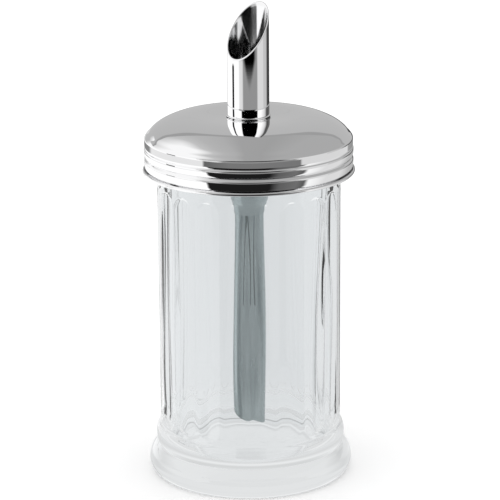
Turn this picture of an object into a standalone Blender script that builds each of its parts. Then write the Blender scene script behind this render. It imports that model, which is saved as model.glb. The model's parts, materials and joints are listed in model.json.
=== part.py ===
"""Sugar dispenser: a fluted glass jar, a pressed steel screw cap, and an oblique pouring spout.

The spout holds a small flap that closes by its own weight. A dosing tube hangs from it into the jar.
The origin is the middle of the jar's base, +Z is up, and the photograph looks along +Y.
Lengths are in metres.
"""

from math import ceil, cos, pi, radians, sin, sqrt

import bmesh
import bpy
import numpy as np
from mathutils import Matrix, Vector

MM = 0.001

# Jar
JAR_HEIGHT = 127.5 * MM
BODY_R = 34.25 * MM
GLASS_WALL = 3.3 * MM
FLOOR_THICK = 8.0 * MM
FLOOR_CORNER = 9.0 * MM
FOOT_R = 38.5 * MM
FOOT_BASE_R = 36.4 * MM
FOOT_HEIGHT = 10.6 * MM
RING_R = 35.75 * MM
RING_TOP = 18.9 * MM
PUNT_R = 25.0 * MM
PUNT_DEPTH = 1.5 * MM
FLUTE_COUNT = 20
FLUTE_DEPTH = 0.7 * MM
FLUTE_LOW = 20.4 * MM
FLUTE_BELOW_CAP = 4.0 * MM
NECK_FLARE = 1.25 * MM
NECK_CORNER = 0.8 * MM

# Screw thread, shared by the jar and the insert
THREAD_PITCH = 4.2 * MM
THREAD_DEPTH = 1.05 * MM
THREAD_HALF_WIDTH = 1.1 * MM
THREAD_GAP = 0.35 * MM
THREAD_BELOW_RIM = 2.3 * MM
THREAD_LAG = 1.8 * MM
JAR_TURNS = 1.1
INSERT_TURNS = 1.0
THREAD_RAMP_TURNS = 0.12

# Clearance between pieces, overrun of the cuts, and how near two points count as one place
GAP = 0.3 * MM
OVERRUN = 2.0 * MM
ON_WALL = 0.05 * MM
WELD = 0.01 * MM

# Seal and threaded insert
SEAL_THICK = 1.2 * MM
SEAL_INSET = 0.6 * MM
INSERT_WALL = 1.1 * MM
INSERT_FLANGE = 1.2 * MM
INSERT_IN_DOME_SHARE = 0.2

# Cap
CAP_WALL = 0.5 * MM
SKIRT_HEIGHT = 12.2 * MM
DOME_RISE = 9.1 * MM
CURL_R = 0.75 * MM
WAIST_DEPTH = 0.2 * MM
BULGE = 0.25 * MM
CRIMP_DEPTH = 0.45 * MM
CRIMP_HEIGHT = 6.1 * MM
CRIMP_HALF_WIDTH = 1.1 * MM
STEP_DEPTH = 0.15 * MM

# Spout
SPOUT_R = 7.8 * MM
SPOUT_WALL = 0.5 * MM
SPOUT_LIP_RISE = 21.9 * MM
MOUTH_SLOPE = 1.28
MOUTH_HEADING = 52.0
BEAD_OUT = 0.4 * MM
BEAD_HEIGHT = 0.6 * MM
SPOUT_BELOW_CAP = 10.0 * MM
TAPER_LENGTH = 5.0 * MM
NARROW_SHARE = 0.3
RETAINER_OUT = 4.1 * MM
RETAINER_THICK = 1.2 * MM

# Dosing tube
DOSER_R = 6.6 * MM
DOSER_WALL = 0.5 * MM
DOSER_FLOOR_GAP = 10.0 * MM
DOSER_CUT_SLOPE = 0.34
DOSER_GRIP = 4.0 * MM
DOSER_FLARE_HEIGHT = 1.2 * MM

# Flap and its pin
FLAP_THICK = 0.5 * MM
FLAP_TILT = 57.0
FLAP_HALF_WIDTH_SHARE = 0.763
PIN_OFFSET_SHARE = 0.55
PIN_R = 0.6 * MM
PIN_BELOW_RETAINER = 1.9 * MM
PIN_HEAD_OUT = 0.4 * MM
PIN_HEAD_THICK = 0.5 * MM
KNUCKLE_WALL = 0.5 * MM
KNUCKLE_HALF_WIDTH_SHARE = 0.6

# Facets round each turned piece, and the angle past which an edge stays sharp
JAR_FACETS = 3 * FLUTE_COUNT
CAP_FACETS = 48
SPOUT_FACETS = 40
TUBE_FACETS = 32
PIN_FACETS = 16
TIP_FACETS = 7
THREAD_RING_STEP = 0.7 * MM
SHARP_ANGLE = 35.0

# The foot, from its top to its base: shares of its swell past FOOT_BASE_R and of FOOT_HEIGHT
FOOT_SHARES = (
    (-0.2, 0.97), (0.3, 0.85), (0.75, 0.7), (0.98, 0.52),
    (1.0, 0.4), (0.8, 0.24), (0.45, 0.1), (0.0, 0.0),
)
# The ring above the foot: shares of its swell past BODY_R and of its height above the foot
RING_SHARES = ((0.0, 1.0), (0.5, 0.9), (0.93, 0.68), (1.0, 0.4), (0.8, 0.17), (0.55, 0.04))
# Rows that carry the flutes' round ends, as shares of half a flute's width
FLUTE_END_SHARES = (0.0, 0.13, 0.5, 1.0)
# The skirt above its crimp: shares of BULGE and of CRIMP_HALF_WIDTH. Below the crimp they mirror
BULGE_SHARES = ((1.0, 1.8), (0.3, 1.0))
STEP_SHARES = (4.2, 3.2)
# The insert's upper corner: shares of INSERT_FLANGE inwards and down
CORNER_SHARES = (1.2, 1.6)
CRIMP_FLAT_SHARE = 0.4
# The dome's outer profile, from the skirt to the hole: shares of SKIRT_R and of DOME_RISE
DOME_SHARES = (
    (1.0, 0.0), (0.992, 0.12), (0.969, 0.255), (0.933, 0.43), (0.876, 0.615),
    (0.799, 0.78), (0.722, 0.89), (0.619, 0.967), (0.515, 1.0), (0.387, 0.99),
)
DOME_HOLE_SHARE = 0.945
BEAD_SHARE = 0.7

# Places that follow from the sizes above
NECK_R = BODY_R + NECK_FLARE
BORE_R = BODY_R - GLASS_WALL
INSERT_ROOT_R = NECK_R + THREAD_DEPTH + THREAD_GAP
INSERT_R = INSERT_ROOT_R + INSERT_WALL
SKIRT_R = INSERT_R + GAP + CAP_WALL
SEAL_LOW = JAR_HEIGHT + GAP
FLANGE_LOW = SEAL_LOW + SEAL_THICK + GAP
INSERT_TOP = FLANGE_LOW + INSERT_FLANGE
CAP_LOW = INSERT_TOP - SKIRT_HEIGHT - INSERT_IN_DOME_SHARE * DOME_RISE
JAR_THREAD_FIRST = JAR_HEIGHT - THREAD_BELOW_RIM - JAR_TURNS * THREAD_PITCH
INSERT_THREAD_FIRST = JAR_THREAD_FIRST - THREAD_LAG
SPOUT_BORE_R = SPOUT_R - SPOUT_WALL
PIN_OFFSET = PIN_OFFSET_SHARE * SPOUT_BORE_R
HEADING = radians(MOUTH_HEADING)
UPHILL = Vector((cos(HEADING), sin(HEADING), 0.0))
ACROSS = Vector((sin(HEADING), -cos(HEADING), 0.0))


def clear_scene():
    """Removes every object of the file that is open."""
    for item in list(bpy.data.objects):
        bpy.data.objects.remove(item)


def new_collection(name):
    """A fresh collection under the scene's own one."""
    group = bpy.data.collections.new(name)
    bpy.context.scene.collection.children.link(group)
    return group


def move_to(item, group):
    """Puts an object that a primitive made in one collection alone."""
    for old in list(item.users_collection):
        old.objects.unlink(item)
    group.objects.link(item)


def material(name, colour, roughness, metallic, transmission=0.0):
    """A Principled material from a colour, a roughness and a metallic value."""
    made = bpy.data.materials.new(name)
    made.use_nodes = True
    shader = made.node_tree.nodes["Principled BSDF"]
    shader.inputs["Base Color"].default_value = (*colour, 1.0)
    shader.inputs["Roughness"].default_value = roughness
    shader.inputs["Metallic"].default_value = metallic
    shader.inputs["Transmission Weight"].default_value = transmission
    made.diffuse_color = (*colour, 1.0)
    return made


def turned(name, points, facets, group, closed=False):
    """A profile of (radius, height) points turned about Z. It runs down its outer side."""
    mesh = bpy.data.meshes.new(name)
    edges = [(i, i + 1) for i in range(len(points) - 1)]
    if closed:
        edges.append((len(points) - 1, 0))
    mesh.from_pydata([(r, 0.0, z) for r, z in points], edges, [])
    item = bpy.data.objects.new(name, mesh)
    group.objects.link(item)
    screw = item.modifiers.new("turn", "SCREW")
    screw.steps = facets
    screw.render_steps = facets
    screw.use_merge_vertices = True
    screw.merge_threshold = WELD
    screw.use_smooth_shade = True
    return item


def made_real(item):
    """Replaces an object's mesh by its evaluated one and drops the modifiers."""
    bpy.context.view_layer.update()
    graph = bpy.context.evaluated_depsgraph_get()
    mesh = bpy.data.meshes.new_from_object(item.evaluated_get(graph))
    item.modifiers.clear()
    item.data = mesh
    return item


def boolean(item, other, operation):
    """Cuts the other object away, or joins it on, and marks it as one that only shapes a piece."""
    other.hide_render = True
    other.display_type = "WIRE"
    step = item.modifiers.new(operation.lower(), "BOOLEAN")
    step.operation = operation
    step.solver = "EXACT"
    step.object = other
    return item


def finish(item, surface):
    """Gives a piece its material and smooth shading with sharp edges kept."""
    item.data.materials.clear()
    item.data.materials.append(surface)
    item.data.shade_smooth()
    item.data.set_sharp_from_angle(angle=radians(SHARP_ANGLE))
    return item


def coordinates(mesh):
    """The mesh's points as an array of rows."""
    flat = np.empty(3 * len(mesh.vertices))
    mesh.vertices.foreach_get("co", flat)
    return flat.reshape(-1, 3)


def set_coordinates(mesh, points):
    """Writes the rows back as the mesh's points."""
    mesh.vertices.foreach_set("co", points.ravel())
    mesh.update()


def cylinder(name, radius, length, matrix, group):
    """A cylinder centred on its matrix, along that matrix's Z."""
    bpy.ops.mesh.primitive_cylinder_add(vertices=PIN_FACETS, radius=radius, depth=length)
    item = bpy.context.object
    item.name = name
    move_to(item, group)
    item.matrix_world = matrix
    return item


def wedge(name, half, floor, ceiling, group):
    """A square block between two planes, each given by its height at the middle and its slope along X."""
    bpy.ops.mesh.primitive_cube_add(size=1.0)
    item = bpy.context.object
    item.name = name
    move_to(item, group)
    corners = coordinates(item.data)
    along = corners[:, 0] * 2 * half
    across = corners[:, 1] * 2 * half
    heights = [middle + slope * along for middle, slope in (floor, ceiling)]
    height = np.where(corners[:, 2] > 0, heights[1], heights[0])
    set_coordinates(item.data, np.stack([along, across, height], axis=1))
    return item


def weld_points(mesh):
    """Joins the points that share a place, as where a drawn outline's caps meet its sides."""
    work = bmesh.new()
    work.from_mesh(mesh)
    bmesh.ops.remove_doubles(work, verts=work.verts[:], dist=WELD)
    bmesh.ops.recalc_face_normals(work, faces=work.faces[:])
    work.to_mesh(mesh)
    work.free()


def arc(centre_r, centre_z, radius, start, end, steps):
    """Points on an arc of the profile plane, angles in degrees."""
    angles = np.radians(np.linspace(start, end, steps + 1))
    return [(centre_r + radius * cos(a), centre_z + radius * sin(a)) for a in angles]


def scaled(shares, start_r, swell, start_z, rise):
    """Profile points from a table of shares: a swell past one radius and a rise above one height."""
    return [(start_r + swell * r, start_z + rise * z) for r, z in shares]


def thread_rings(radius, start, end):
    """Profile points along a threaded wall, close enough to carry the ridge."""
    count = ceil(abs(end - start) / THREAD_RING_STEP)
    return [(radius, z) for z in np.linspace(start, end, count + 1)]


def raise_thread(item, root_r, low, high, first_height, turns, depth):
    """Moves the wall's points out by the ridge: it climbs one pitch a turn and fades in and out."""
    points = coordinates(item.data)
    radius = np.hypot(points[:, 0], points[:, 1])
    turn = np.arctan2(points[:, 1], points[:, 0]) % (2 * pi) / (2 * pi)
    climb = (points[:, 2] - first_height) / THREAD_PITCH
    turn += np.round(climb - turn)
    off = (climb - turn) * THREAD_PITCH / THREAD_HALF_WIDTH
    ridge = 0.5 * (1 + np.cos(pi * np.clip(off, -1, 1)))
    ridge *= np.clip(turn / THREAD_RAMP_TURNS, 0, 1) * np.clip((turns - turn) / THREAD_RAMP_TURNS, 0, 1)
    on_root = (np.abs(radius - root_r) < ON_WALL) & (points[:, 2] > low) & (points[:, 2] < high)
    wanted = radius + np.where(on_root, depth * ridge, 0.0)
    points[:, :2] *= (wanted / np.maximum(radius, ON_WALL))[:, None]
    set_coordinates(item.data, points)


def sink_flutes(jar, top, half_width):
    """Sinks the flutes: each is a shallow hollow between two edges, with a round top and bottom."""
    points = coordinates(jar.data)
    radius = np.hypot(points[:, 0], points[:, 1])
    across = ((np.arctan2(points[:, 1], points[:, 0]) / (2 * pi) * FLUTE_COUNT) % 1.0) * 2 - 1
    short = half_width * (1 - np.sqrt(np.clip(1 - across**2, 0, 1)))
    inside = (points[:, 2] <= top - short + ON_WALL) & (points[:, 2] >= FLUTE_LOW + short - ON_WALL)
    fluted = inside & (np.abs(radius - BODY_R) < ON_WALL)
    sunk = radius - np.where(fluted, FLUTE_DEPTH * (1 - across**2), 0.0)
    points[:, :2] *= (sunk / np.maximum(radius, ON_WALL))[:, None]
    set_coordinates(jar.data, points)


def glass_jar(group, glass):
    """The pressed jar: foot, ring, fluted body, threaded neck and thick floor."""
    neck_low = JAR_THREAD_FIRST - THREAD_HALF_WIDTH
    neck_high = JAR_HEIGHT - THREAD_BELOW_RIM + THREAD_HALF_WIDTH
    flute_top = CAP_LOW - FLUTE_BELOW_CAP
    arch = pi * BODY_R / FLUTE_COUNT
    floor_r = BORE_R - FLOOR_CORNER
    outline = [(0.0, FLOOR_THICK), (floor_r, FLOOR_THICK)]
    outline += arc(floor_r, FLOOR_THICK + FLOOR_CORNER, FLOOR_CORNER, -60, 0, 3)
    outline += [(BORE_R, JAR_HEIGHT - SEAL_INSET), (BORE_R + SEAL_INSET, JAR_HEIGHT)]
    outline += arc(NECK_R - NECK_CORNER, JAR_HEIGHT - NECK_CORNER, NECK_CORNER, 90, 0, 2)
    outline += thread_rings(NECK_R, neck_high, neck_low)
    outline += [(BODY_R, neck_low - 2 * NECK_FLARE)]
    outline += [(BODY_R, flute_top - arch * share) for share in FLUTE_END_SHARES]
    outline += [(BODY_R, FLUTE_LOW + arch * share) for share in reversed(FLUTE_END_SHARES)]
    outline += scaled(RING_SHARES, BODY_R, RING_R - BODY_R, FOOT_HEIGHT, RING_TOP - FOOT_HEIGHT)
    outline += scaled(FOOT_SHARES, FOOT_BASE_R, FOOT_R - FOOT_BASE_R, 0.0, FOOT_HEIGHT)
    outline += [(PUNT_R, 0.0), (PUNT_R - 2 * PUNT_DEPTH, PUNT_DEPTH), (0.0, PUNT_DEPTH)]
    jar = made_real(turned("glass_jar", outline, JAR_FACETS, group))
    raise_thread(jar, NECK_R, neck_low - GAP, JAR_HEIGHT, JAR_THREAD_FIRST, JAR_TURNS, THREAD_DEPTH)
    sink_flutes(jar, flute_top, arch)
    return finish(jar, glass)


def sealing_ring(group, soft):
    """The flat soft ring on the jar's rim."""
    outer = NECK_R - NECK_CORNER
    high = SEAL_LOW + SEAL_THICK
    outline = [(BORE_R, high), (outer, high), (outer, SEAL_LOW), (BORE_R, SEAL_LOW)]
    return finish(turned("sealing_ring", outline, CAP_FACETS, group, closed=True), soft)


def thread_insert(group, plastic):
    """The moulded ring that the cap's crimp holds: thread inside, flange over the seal."""
    low = CAP_LOW + 2 * CURL_R + 2 * GAP
    crimp = CAP_LOW + CRIMP_HEIGHT
    half = CRIMP_HALF_WIDTH + GAP
    flat = CRIMP_FLAT_SHARE * half
    groove_r = INSERT_R - CRIMP_DEPTH
    corner_in, corner_down = (INSERT_FLANGE * share for share in CORNER_SHARES)
    thread_low = max(low + GAP, INSERT_THREAD_FIRST - THREAD_HALF_WIDTH)
    thread_high = INSERT_THREAD_FIRST + INSERT_TURNS * THREAD_PITCH + THREAD_HALF_WIDTH
    outline = [(BORE_R, INSERT_TOP), (INSERT_R - corner_in, INSERT_TOP), (INSERT_R, INSERT_TOP - corner_down)]
    outline += [(INSERT_R, crimp + half), (groove_r, crimp + flat), (groove_r, crimp - flat)]
    outline += [(INSERT_R, crimp - half), (INSERT_R, low), (INSERT_ROOT_R, low)]
    outline += thread_rings(INSERT_ROOT_R, thread_low, min(FLANGE_LOW - GAP, thread_high))
    outline += [(INSERT_ROOT_R, FLANGE_LOW), (BORE_R, FLANGE_LOW)]
    insert = made_real(turned("thread_insert", outline, CAP_FACETS, group, closed=True))
    raise_thread(insert, INSERT_ROOT_R, low, FLANGE_LOW, INSERT_THREAD_FIRST, INSERT_TURNS, -THREAD_DEPTH)
    return finish(insert, plastic)


def dome_profile():
    """The dome's outer profile, from the spout's hole down to the skirt."""
    shares = [(r * SKIRT_R, z) for r, z in DOME_SHARES] + [(SPOUT_R + GAP, DOME_HOLE_SHARE)]
    return [(r, CAP_LOW + SKIRT_HEIGHT + DOME_RISE * z) for r, z in reversed(shares)]


def screw_cap(group, steel):
    """The pressed cap: domed top with the spout's hole, crimped skirt and curled rim."""
    crimp = CAP_LOW + CRIMP_HEIGHT
    waist_r = SKIRT_R - WAIST_DEPTH
    inner_curl = CURL_R - CAP_WALL
    above, step = (crimp + CRIMP_HALF_WIDTH * share for share in STEP_SHARES)
    outline = dome_profile()
    outline += [(SKIRT_R, above), (SKIRT_R - STEP_DEPTH, step)]
    outline += scaled(BULGE_SHARES, SKIRT_R, BULGE, crimp, CRIMP_HALF_WIDTH)
    outline += [(SKIRT_R - CRIMP_DEPTH, crimp)]
    outline += scaled(reversed(BULGE_SHARES), SKIRT_R, BULGE, crimp, -CRIMP_HALF_WIDTH)
    outline += [(waist_r, CAP_LOW + 2 * CURL_R + GAP)]
    outline += arc(waist_r + inner_curl, CAP_LOW + CURL_R, inner_curl, 180, 450, 6)
    cap = turned("screw_cap", outline, CAP_FACETS, group)
    wall = cap.modifiers.new("wall", "SOLIDIFY")
    wall.thickness = CAP_WALL
    wall.offset = -1.0
    wall.use_even_offset = True
    return finish(cap, steel)


def spout_places():
    """Heights along the spout: its seat on the dome, the mouth's middle, and its lower end."""
    seat = dome_profile()[0][1] + GAP
    mouth = seat + SPOUT_LIP_RISE + MOUTH_SLOPE * SPOUT_R
    low = CAP_LOW - SPOUT_BELOW_CAP - TAPER_LENGTH
    return seat, mouth, low


def pin_matrix():
    """The pin's place: off the spout's axis on the mouth's low side, its Z across the slope."""
    seat, _, _ = spout_places()
    height = seat - 2 * GAP - CAP_WALL - RETAINER_THICK - PIN_BELOW_RETAINER
    place = UPHILL * -PIN_OFFSET + Vector((0.0, 0.0, height))
    turn = Matrix((UPHILL, Vector((0.0, 0.0, 1.0)), ACROSS)).transposed().to_4x4()
    return Matrix.Translation(place) @ turn


def spout_tube(group, cutters, steel):
    """The drawn spout: oblique mouth, bead on the dome, and a narrow lower end that holds the dosing tube."""
    seat, mouth, low = spout_places()
    half = SPOUT_R + BEAD_OUT + OVERRUN
    top = mouth + MOUTH_SLOPE * SPOUT_R + OVERRUN
    narrow_in = DOSER_R + GAP
    narrow_out = narrow_in + SPOUT_WALL
    taper_top = low + TAPER_LENGTH
    taper_low = low + NARROW_SHARE * TAPER_LENGTH
    outline = [
        (SPOUT_R, top),
        (SPOUT_R, seat + BEAD_HEIGHT),
        (SPOUT_R + BEAD_OUT, seat + BEAD_SHARE * BEAD_HEIGHT),
        (SPOUT_R + BEAD_OUT, seat),
        (SPOUT_R, seat),
        (SPOUT_R, taper_top),
        (narrow_out, taper_low),
        (narrow_out, low),
        (narrow_in, low),
        (narrow_in, taper_low),
        (SPOUT_BORE_R, taper_top),
        (SPOUT_BORE_R, top),
    ]
    spout = turned("spout_tube", outline, SPOUT_FACETS, group, closed=True)
    clear = top - mouth + MOUTH_SLOPE * half + OVERRUN
    mouth_cut = wedge("mouth_cut", half, (0.0, MOUTH_SLOPE), (clear, 0.0), cutters)
    mouth_cut.rotation_euler = (0.0, 0.0, HEADING)
    mouth_cut.location = (0.0, 0.0, mouth)
    boolean(spout, mouth_cut, "DIFFERENCE")
    boolean(spout, cylinder("pin_cut", PIN_R + GAP, 2 * half, pin_matrix(), cutters), "DIFFERENCE")
    return finish(spout, steel)


def retaining_ring(group, steel):
    """The ring that grips the spout under the dome."""
    inner, dome = dome_profile()[0]
    outer = inner + RETAINER_OUT
    high = dome - CAP_WALL - GAP
    low = high - RETAINER_THICK
    outline = [(inner, high), (outer, high), (outer, low), (inner, low)]
    return finish(turned("retaining_ring", outline, SPOUT_FACETS, group, closed=True), steel)


def dosing_tube(group, cutters, steel):
    """The long inner tube: a flared head that hangs in the spout's narrow end, and an oblique foot."""
    _, _, spout_low = spout_places()
    head_r = SPOUT_BORE_R - GAP
    head_low = spout_low + TAPER_LENGTH + 2 * GAP
    head_high = head_low + DOSER_FLARE_HEIGHT
    top = head_low + DOSER_GRIP
    foot = FLOOR_THICK + DOSER_FLOOR_GAP
    bore = DOSER_R - DOSER_WALL
    outline = [
        (head_r, head_high),
        (head_r, head_low),
        (DOSER_R, head_low - GAP),
        (DOSER_R, foot - OVERRUN),
        (bore, foot - OVERRUN),
        (bore, top),
        (DOSER_R, top),
        (DOSER_R, head_high + GAP),
    ]
    tube = turned("dosing_tube", outline, TUBE_FACETS, group, closed=True)
    slant = (DOSER_CUT_SLOPE * DOSER_R, -DOSER_CUT_SLOPE)
    foot_cut = wedge("foot_cut", DOSER_R + OVERRUN, (-2 * OVERRUN, 0.0), slant, cutters)
    foot_cut.location = (0.0, 0.0, foot)
    boolean(tube, foot_cut, "DIFFERENCE")
    return finish(tube, steel)


def flap_pin(group, steel):
    """The wire pin through both walls of the spout, its ends headed over."""
    head_r = PIN_R + PIN_HEAD_OUT
    head_low = sqrt(SPOUT_R**2 - max(PIN_OFFSET - head_r, 0.0) ** 2) + GAP
    end = head_low + PIN_HEAD_THICK
    outline = [(0.0, end), (head_r, end), (head_r, head_low), (PIN_R, head_low)]
    outline += [(r, -z) for r, z in reversed(outline)]
    pin = turned("flap_pin", outline, PIN_FACETS, group)
    pin.matrix_world = pin_matrix()
    return finish(pin, steel)


def leaf_outline(leaf_start, knuckle_half):
    """The leaf drawn flat: along it from the pin's axis, and across. Its tip fits the round bore."""
    tilt = radians(FLAP_TILT)
    reach = SPOUT_BORE_R - GAP
    half_width = FLAP_HALF_WIDTH_SHARE * SPOUT_BORE_R
    # The leaf's thickness leans its corners outwards, so the tip stands back by that much
    back = FLAP_THICK / 2 * sin(tilt)
    sweep = np.linspace(np.arcsin(half_width / reach), 0.0, TIP_FACETS + 1)
    upper = [(leaf_start, knuckle_half), (leaf_start + KNUCKLE_WALL, knuckle_half)]
    upper += [(leaf_start + 2 * KNUCKLE_WALL, half_width)]
    upper += [((PIN_OFFSET + reach * cos(a) - back) / cos(tilt), reach * sin(a)) for a in sweep]
    return upper + [(u, -v) for u, v in reversed(upper[:-1])]


def flap_leaf(group, cutters, steel):
    """The flap: a leaf with a round free end, its lower edge curled about the pin."""
    tilt = radians(FLAP_TILT)
    knuckle_half = KNUCKLE_HALF_WIDTH_SHARE * SPOUT_BORE_R
    knuckle_in = PIN_R + GAP
    knuckle_out = knuckle_in + KNUCKLE_WALL
    outline = leaf_outline(knuckle_in + KNUCKLE_WALL / 2, knuckle_half)
    curve = bpy.data.curves.new("flap_leaf", "CURVE")
    curve.dimensions = "2D"
    curve.fill_mode = "BOTH"
    curve.extrude = FLAP_THICK / 2
    spline = curve.splines.new("POLY")
    spline.points.add(len(outline) - 1)
    spline.points.foreach_set("co", np.array([(u, v, 0.0, 1.0) for u, v in outline]).ravel())
    spline.use_cyclic_u = True
    drawn = bpy.data.objects.new("flap_outline", curve)
    cutters.objects.link(drawn)
    bpy.context.view_layer.update()
    mesh = bpy.data.meshes.new_from_object(drawn.evaluated_get(bpy.context.evaluated_depsgraph_get()))
    bpy.data.objects.remove(drawn)
    weld_points(mesh)
    leaf = bpy.data.objects.new("flap_leaf", mesh)
    group.objects.link(leaf)
    along = UPHILL * cos(tilt) + Vector((0.0, 0.0, sin(tilt)))
    turn = Matrix((along, ACROSS, along.cross(ACROSS))).transposed().to_4x4()
    leaf.matrix_world = Matrix.Translation(pin_matrix().translation) @ turn
    knuckle = [
        (knuckle_out, knuckle_half),
        (knuckle_out, -knuckle_half),
        (knuckle_in, -knuckle_half),
        (knuckle_in, knuckle_half),
    ]
    curl = turned("flap_curl", knuckle, PIN_FACETS, cutters, closed=True)
    curl.matrix_world = pin_matrix()
    boolean(leaf, curl, "UNION")
    return finish(leaf, steel)


def build():
    """Makes every piece. What turns with the cap hangs on an empty on the jar's axis."""
    clear_scene()
    pieces = new_collection("sugar_dispenser")
    cutters = new_collection("cutters")
    glass = material("clear_glass", (0.95, 0.97, 0.97), 0.03, 0.0, 1.0)
    polished = material("polished_steel", (0.78, 0.78, 0.79), 0.08, 1.0)
    drawn = material("drawn_steel", (0.62, 0.65, 0.66), 0.25, 1.0)
    soft = material("seal_silicone", (0.82, 0.82, 0.8), 0.6, 0.0)
    plastic = material("insert_plastic", (0.88, 0.88, 0.87), 0.4, 0.0)
    glass_jar(pieces, glass)
    sealing_ring(pieces, soft)
    carried = [
        thread_insert(pieces, plastic),
        screw_cap(pieces, polished),
        spout_tube(pieces, cutters, polished),
        retaining_ring(pieces, drawn),
        dosing_tube(pieces, cutters, drawn),
        flap_pin(pieces, drawn),
        flap_leaf(pieces, cutters, polished),
    ]
    cap_axis = bpy.data.objects.new("cap_axis", None)
    pieces.objects.link(cap_axis)
    for item in carried:
        item.parent = cap_axis


build()
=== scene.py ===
"""Sugar dispenser: fluted glass jar, polished screw cap, oblique spout with a flap, and the tube inside."""

import json
from math import cos, pi, radians, sin, sqrt

import bpy
import numpy as np
from mathutils import Matrix, Vector


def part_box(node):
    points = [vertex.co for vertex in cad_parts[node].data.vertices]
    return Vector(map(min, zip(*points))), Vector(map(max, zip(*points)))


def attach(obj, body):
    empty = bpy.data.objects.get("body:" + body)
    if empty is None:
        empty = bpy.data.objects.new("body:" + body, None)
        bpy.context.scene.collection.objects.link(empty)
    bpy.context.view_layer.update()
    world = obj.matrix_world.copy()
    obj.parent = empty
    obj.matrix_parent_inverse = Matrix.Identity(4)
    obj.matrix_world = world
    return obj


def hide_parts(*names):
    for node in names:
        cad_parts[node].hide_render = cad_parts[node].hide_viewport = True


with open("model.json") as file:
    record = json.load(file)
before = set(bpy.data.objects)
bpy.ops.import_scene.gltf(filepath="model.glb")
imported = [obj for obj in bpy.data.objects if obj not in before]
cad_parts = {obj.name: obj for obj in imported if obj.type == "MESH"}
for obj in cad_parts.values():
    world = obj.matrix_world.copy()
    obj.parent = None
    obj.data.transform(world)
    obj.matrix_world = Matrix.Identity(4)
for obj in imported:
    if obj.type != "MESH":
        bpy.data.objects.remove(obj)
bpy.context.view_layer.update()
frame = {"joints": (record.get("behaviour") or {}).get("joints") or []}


# Camera
# A long lens about a metre away looks down at the jar. It is rolled a little, so the jar leans left by a
# third of a degree, as in the photograph.
camera_distance = 0.93674
camera_height = 0.35065
camera_pitch = 0.27564
camera_yaw = -0.00028
camera_roll = -0.00668
camera_lens_mm = 186.35
lens = bpy.data.cameras.new("camera")
lens.lens = camera_lens_mm
lens.sensor_width = 36.0
lens.clip_start = 0.05
lens.clip_end = 50.0
camera = bpy.data.objects.new("camera", lens)
bpy.context.scene.collection.objects.link(camera)
aim = Matrix.Rotation(camera_yaw, 4, "Z") @ Matrix.Rotation(pi / 2 - camera_pitch, 4, "X")
aim = aim @ Matrix.Rotation(camera_roll, 4, "Z")
camera.matrix_world = Matrix.Translation((0.0, -camera_distance, camera_height)) @ aim
bpy.context.scene.camera = camera
bpy.context.scene.view_settings.view_transform = "Standard"


# Glass jar
# Pressed clear glass: a swollen foot and a round ring below twenty shallow flutes with arched ends, and a
# short threaded neck that the cap hides. The bore is a little uneven, and its floor rounds into the wall.
mm = 0.001
jar_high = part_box("glass_jar")[1]
jar_height = jar_high.z
foot_r = jar_high.x
foot_base_r = 36.4 * mm
foot_height = 10.6 * mm
body_r = 34.25 * mm
bore_r = body_r - 3.3 * mm
neck_r = body_r + 1.25 * mm
neck_low = jar_height - 8.0 * mm
ring_r = 35.75 * mm
ring_top = 18.9 * mm
floor_thick = 8.0 * mm
floor_corner = 9.0 * mm
punt_r = 25.0 * mm
punt_depth = 1.5 * mm
middle_r = 0.3 * mm
rim_in = 0.6 * mm
rim_out = 0.8 * mm
neck_fillet = 2.6 * mm
body_top = neck_low - 3.2 * mm
flute_count = 20
flute_columns = 16
flute_depth = 0.58 * mm
flute_top = 112.5 * mm
flute_low = 20.4 * mm
flute_arch = 7.6 * mm
arch_zone = 1.4 * flute_arch
flute_edge_share = 0.16
flute_fade = 1.3 * mm
wave_depth = 0.27 * mm
wave_climb = 30.0 * mm
wave_fade_low = 12.0 * mm
wave_fade_high = 8.0 * mm
broad_waves = 7
fine_waves = 12
thread_pitch = 4.2 * mm
thread_depth = 1.05 * mm
thread_half_width = 1.1 * mm
thread_fade_turns = 0.12
thread_below_rim = 2.3 * mm
jar_thread_turns = 1.1
jar_thread_first = jar_height - thread_below_rim - jar_thread_turns * thread_pitch
ring_shares = ((0.0, 1.0), (0.5, 0.9), (0.93, 0.68), (1.0, 0.4), (0.8, 0.17), (0.55, 0.04))
foot_shares = (
    (-0.2, 0.97), (0.3, 0.85), (0.75, 0.7), (0.98, 0.52), (1.0, 0.4), (0.8, 0.24), (0.45, 0.1), (0.0, 0.0),
)
glass_colour = (0.975, 0.985, 0.99, 1.0)
glass_index = 1.45
haze_from = 0.55
haze_roughness = 0.05
mould_bump = 0.02 * mm


def smooth_line(points, steps):
    """A smooth line through the points: a cubic between each two, whose slope at a point is half the step
    from the point before it to the point after it."""
    p = np.array([points[0], *points, points[-1]], float)
    a, b, c, d = (p[i:len(p) - 3 + i, None] for i in range(4))
    t = np.linspace(0, 1, steps, endpoint=False)[None, :, None]
    line = 0.5 * (2 * b + (c - a) * t + (2 * a - 5 * b + 4 * c - d) * t**2 + (3 * b - a - 3 * c + d) * t**3)
    return np.vstack([line.reshape(-1, 2), p[-1:]])


def straight(start, end, steps):
    """Evenly spaced points from start up to, but without, end."""
    share = np.linspace(0, 1, steps, endpoint=False)[:, None]
    return np.asarray(start) * (1 - share) + np.asarray(end) * share


def arc(centre, radius, start, end, steps):
    """Points at even angles, in degrees, on a circle of the profile plane."""
    angle = np.radians(np.linspace(start, end, steps + 1))
    return np.stack([centre[0] + radius * np.cos(angle), centre[1] + radius * np.sin(angle)], axis=1)


def turn(profile, columns):
    """Carries (radius, height) points round the Z axis: each becomes a ring of points at even angles."""
    angle = np.linspace(0, 2 * pi, columns, endpoint=False)
    radius, height = np.asarray(profile).T[:, :, None]
    return np.stack([radius * np.cos(angle), radius * np.sin(angle), height + 0 * angle], axis=-1)


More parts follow.
